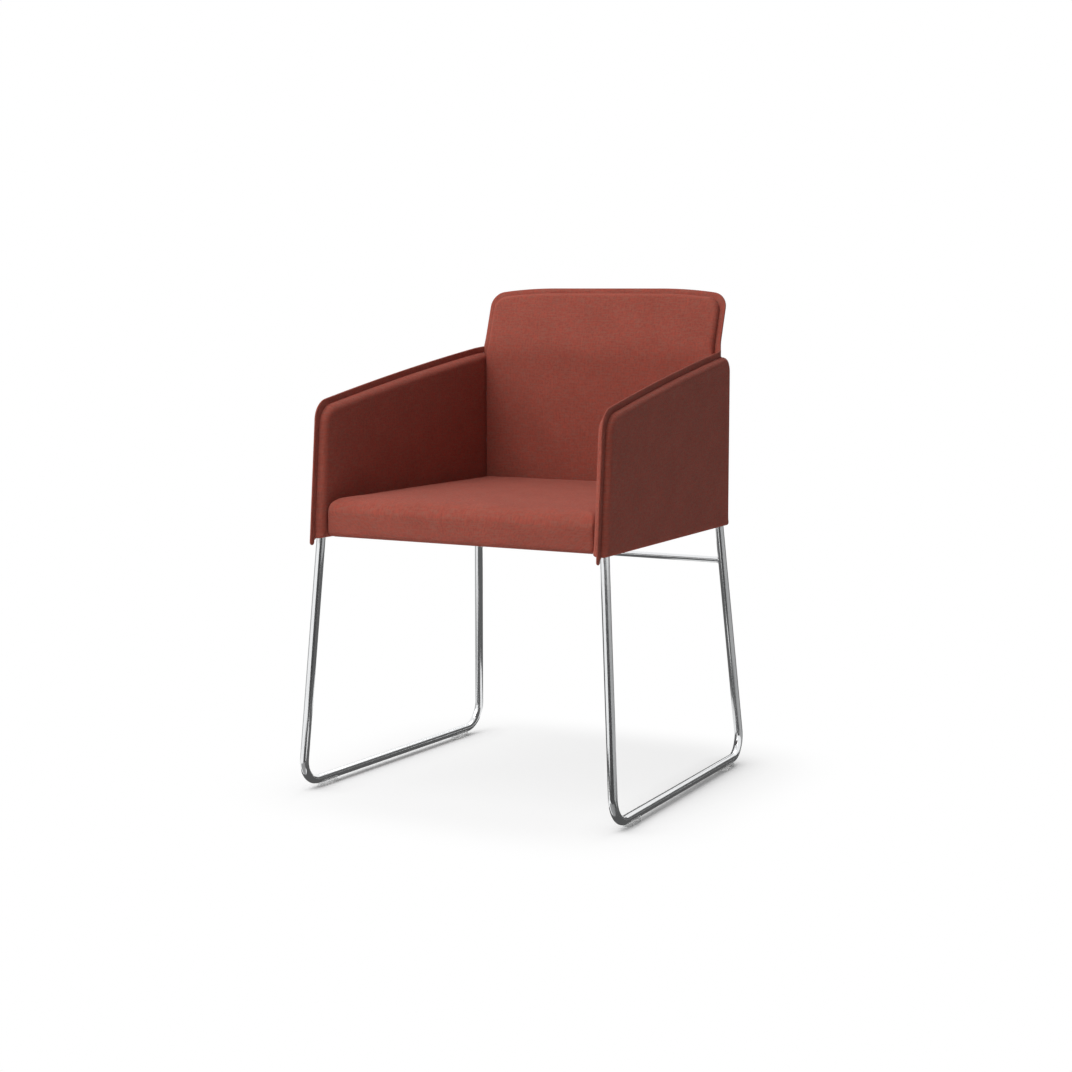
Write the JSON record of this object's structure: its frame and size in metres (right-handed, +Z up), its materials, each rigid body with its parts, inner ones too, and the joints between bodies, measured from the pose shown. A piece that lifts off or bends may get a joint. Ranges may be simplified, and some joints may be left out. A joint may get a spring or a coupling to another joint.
{
  "type": "sled base visitor chair",
  "caption": "Upholstered armchair with thin padded arms, a back that leans back above them, and two bent chrome rod sled side frames on clear glides.",
  "frame": {"origin": "middle of the bounding box at floor level, where the glides rest", "axes": "+Z up, -Y the way the sitter faces, +X the sitter's left"},
  "size_m": [0.5554, 0.5398, 0.7864],
  "materials": {
    "upholstery": "woven wool-like melange cloth, matt",
    "bright_steel": "bright chrome plate",
    "panel_steel": "dark primed sheet and bar, hidden",
    "zinc_steel": "zinc plated",
    "clear_plastic": "clear, slightly milky",
    "plywood": "bare plywood",
    "dust_cloth": "black non-woven cloth"
  },
  "bodies": {
    "root": {"angle_bolt_arm_high_left": "zinc_steel", "angle_bolt_arm_high_right": "zinc_steel", "angle_bolt_arm_low_left": "zinc_steel", "angle_bolt_arm_low_right": "zinc_steel", "angle_bolt_back_high_left": "zinc_steel", "angle_bolt_back_high_right": "zinc_steel", "angle_bolt_back_low_left": "zinc_steel", "angle_bolt_back_low_right": "zinc_steel", "arm_inner_pad_left": "upholstery", "arm_inner_pad_right": "upholstery", "arm_outer_pad_left": "upholstery", "arm_outer_pad_right": "upholstery", "arm_plate_left": "panel_steel", "arm_plate_right": "panel_steel", "arm_welt_left": "upholstery", "arm_welt_right": "upholstery", "back_angle_left": "zinc_steel", "back_angle_right": "zinc_steel", "back_front_pad": "upholstery", "back_plate": "panel_steel", "back_rear_pad": "upholstery", "back_welt": "upholstery", "dust_cover": "dust_cloth", "glide_front_left": "clear_plastic", "glide_front_right": "clear_plastic", "glide_rear_left": "clear_plastic", "glide_rear_right": "clear_plastic", "rail_bolt_front_left": "zinc_steel", "rail_bolt_front_right": "zinc_steel", "rail_bolt_rear_left": "zinc_steel", "rail_bolt_rear_right": "zinc_steel", "rear_crossbar": "bright_steel", "seat_board": "plywood", "seat_cushion": "upholstery", "seat_rail_front": "panel_steel", "seat_rail_rear": "panel_steel", "seat_screw_front_left": "zinc_steel", "seat_screw_front_right": "zinc_steel", "seat_screw_rear_left": "zinc_steel", "seat_screw_rear_right": "zinc_steel", "seat_tee_nut_front_left": "zinc_steel", "seat_tee_nut_front_right": "zinc_steel", "seat_tee_nut_rear_left": "zinc_steel", "seat_tee_nut_rear_right": "zinc_steel", "side_frame_left": "bright_steel", "side_frame_right": "bright_steel"}
  },
  "joints": []
}
